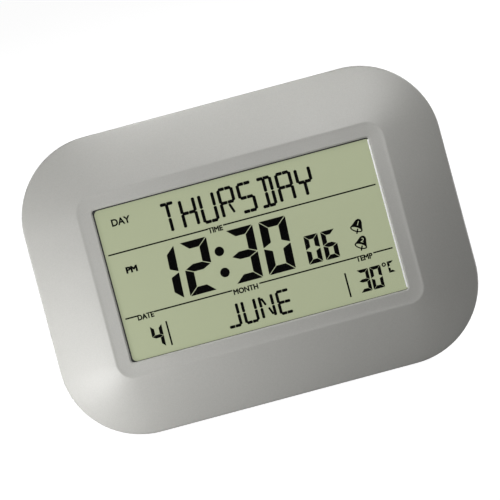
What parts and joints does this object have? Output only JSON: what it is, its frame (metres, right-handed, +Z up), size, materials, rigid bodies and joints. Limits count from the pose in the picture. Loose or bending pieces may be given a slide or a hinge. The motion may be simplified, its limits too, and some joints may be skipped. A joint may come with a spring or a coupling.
{
  "type": "day clock",
  "caption": "Large-digit desk and wall clock with a segment display showing day, time, date and temperature in a rounded sloping case with a fold-out leg.",
  "frame": {"origin": "centre of the clock's bounding box at the height of the surface that it stands on", "axes": "+Z up, +X to the right seen from the front, the display faces -Y and leans back 12 degrees"},
  "size_m": [0.255, 0.068, 0.1776],
  "materials": {
    "case_plastic": "satin",
    "clear_pane": "gloss",
    "tape": "matte",
    "display_film": "satin",
    "display_glass": "gloss",
    "display_seal": "matte",
    "display_reflector": "matte",
    "inner_plastic": "satin",
    "contact_rubber": "matte",
    "board_laminate": "satin",
    "black_epoxy": "gloss",
    "component_can": "satin",
    "capacitor_sleeve": "gloss",
    "resistor_body": "matte",
    "sensor_bead": "gloss",
    "screw_steel": "satin",
    "foot_rubber": "matte",
    "cell_sleeve": "gloss",
    "contact_metal": "satin",
    "wire_red": "satin",
    "wire_black": "satin",
    "button_plastic": "satin",
    "plunger_plastic": "matte",
    "switch_body": "matte",
    "ribbon": "satin",
    "buzzer_brass": "satin",
    "buzzer_white": "matte"
  },
  "bodies": {
    "case": {"front_bezel": "case_plastic", "window_tape": "tape", "display_window": "clear_pane", "lcd_front_polarizer": "display_film", "lcd_front_glass": "display_glass", "lcd_seal": "display_seal", "lcd_rear_glass": "display_glass", "lcd_reflector": "display_reflector", "lcd_holder": "inner_plastic", "zebra_strip_bottom": "contact_rubber", "zebra_strip_top": "contact_rubber", "circuit_board": "board_laminate", "board_screws": "screw_steel", "clock_chip": "black_epoxy", "quartz_crystal": "component_can", "filter_capacitor": "capacitor_sleeve", "board_resistors": "resistor_body", "temperature_sensor": "sensor_bead", "rear_cover": "case_plastic", "cover_screws": "screw_steel", "stand_hinge_pin": "screw_steel", "battery_cells": "cell_sleeve", "battery_contacts": "contact_metal", "battery_bridge": "contact_metal", "battery_springs": "contact_metal", "battery_wire_red": "wire_red", "battery_wire_black": "wire_black", "key_switches": "switch_body", "key_board": "board_laminate", "key_board_screws": "screw_steel", "key_ribbon": "ribbon", "buzzer_disc": "buzzer_brass", "buzzer_ceramic": "buzzer_white"},
    "stand": {"stand_leg": "case_plastic", "leg_foot": "foot_rubber"},
    "door": {"battery_door": "case_plastic"},
    "set_key": {"set_button": "button_plastic", "set_plunger": "plunger_plastic"},
    "up_key": {"up_button": "button_plastic", "up_plunger": "plunger_plastic"},
    "down_key": {"down_button": "button_plastic", "down_plunger": "plunger_plastic"},
    "alarm_key": {"alarm_button": "button_plastic", "alarm_plunger": "plunger_plastic"},
    "snooze_key": {"snooze_button": "button_plastic", "snooze_plunger": "plunger_plastic"},
    "unit_key": {"unit_button": "button_plastic", "unit_plunger": "plunger_plastic"}
  },
  "joints": [
    {"name": "stand_fold", "type": "hinge", "parent": "case", "child": "stand", "pos_m": [0, 0.00673, 0.08694], "axis": [-1, 0, 0], "range_deg": [0, 28]},
    {"name": "battery_door_slide", "type": "slide", "parent": "case", "child": "door", "axis": [1, 0, 0], "range_m": [0, 0.062]},
    {"name": "set_button_press", "type": "slide", "parent": "case", "child": "set_key", "axis": [0, -0.9781, 0.2079], "range_m": [0, 0.0008], "stiffness_N_per_m": 300},
    {"name": "up_button_press", "type": "slide", "parent": "case", "child": "up_key", "axis": [0, -0.9781, 0.2079], "range_m": [0, 0.0008], "stiffness_N_per_m": 300},
    {"name": "down_button_press", "type": "slide", "parent": "case", "child": "down_key", "axis": [0, -0.9781, 0.2079], "range_m": [0, 0.0008], "stiffness_N_per_m": 300},
    {"name": "alarm_button_press", "type": "slide", "parent": "case", "child": "alarm_key", "axis": [0, -0.9781, 0.2079], "range_m": [0, 0.0008], "stiffness_N_per_m": 300},
    {"name": "snooze_button_press", "type": "slide", "parent": "case", "child": "snooze_key", "axis": [0, -0.9781, 0.2079], "range_m": [0, 0.0008], "stiffness_N_per_m": 300},
    {"name": "unit_button_press", "type": "slide", "parent": "case", "child": "unit_key", "axis": [0, -0.9781, 0.2079], "range_m": [0, 0.0008], "stiffness_N_per_m": 300}
  ]
}
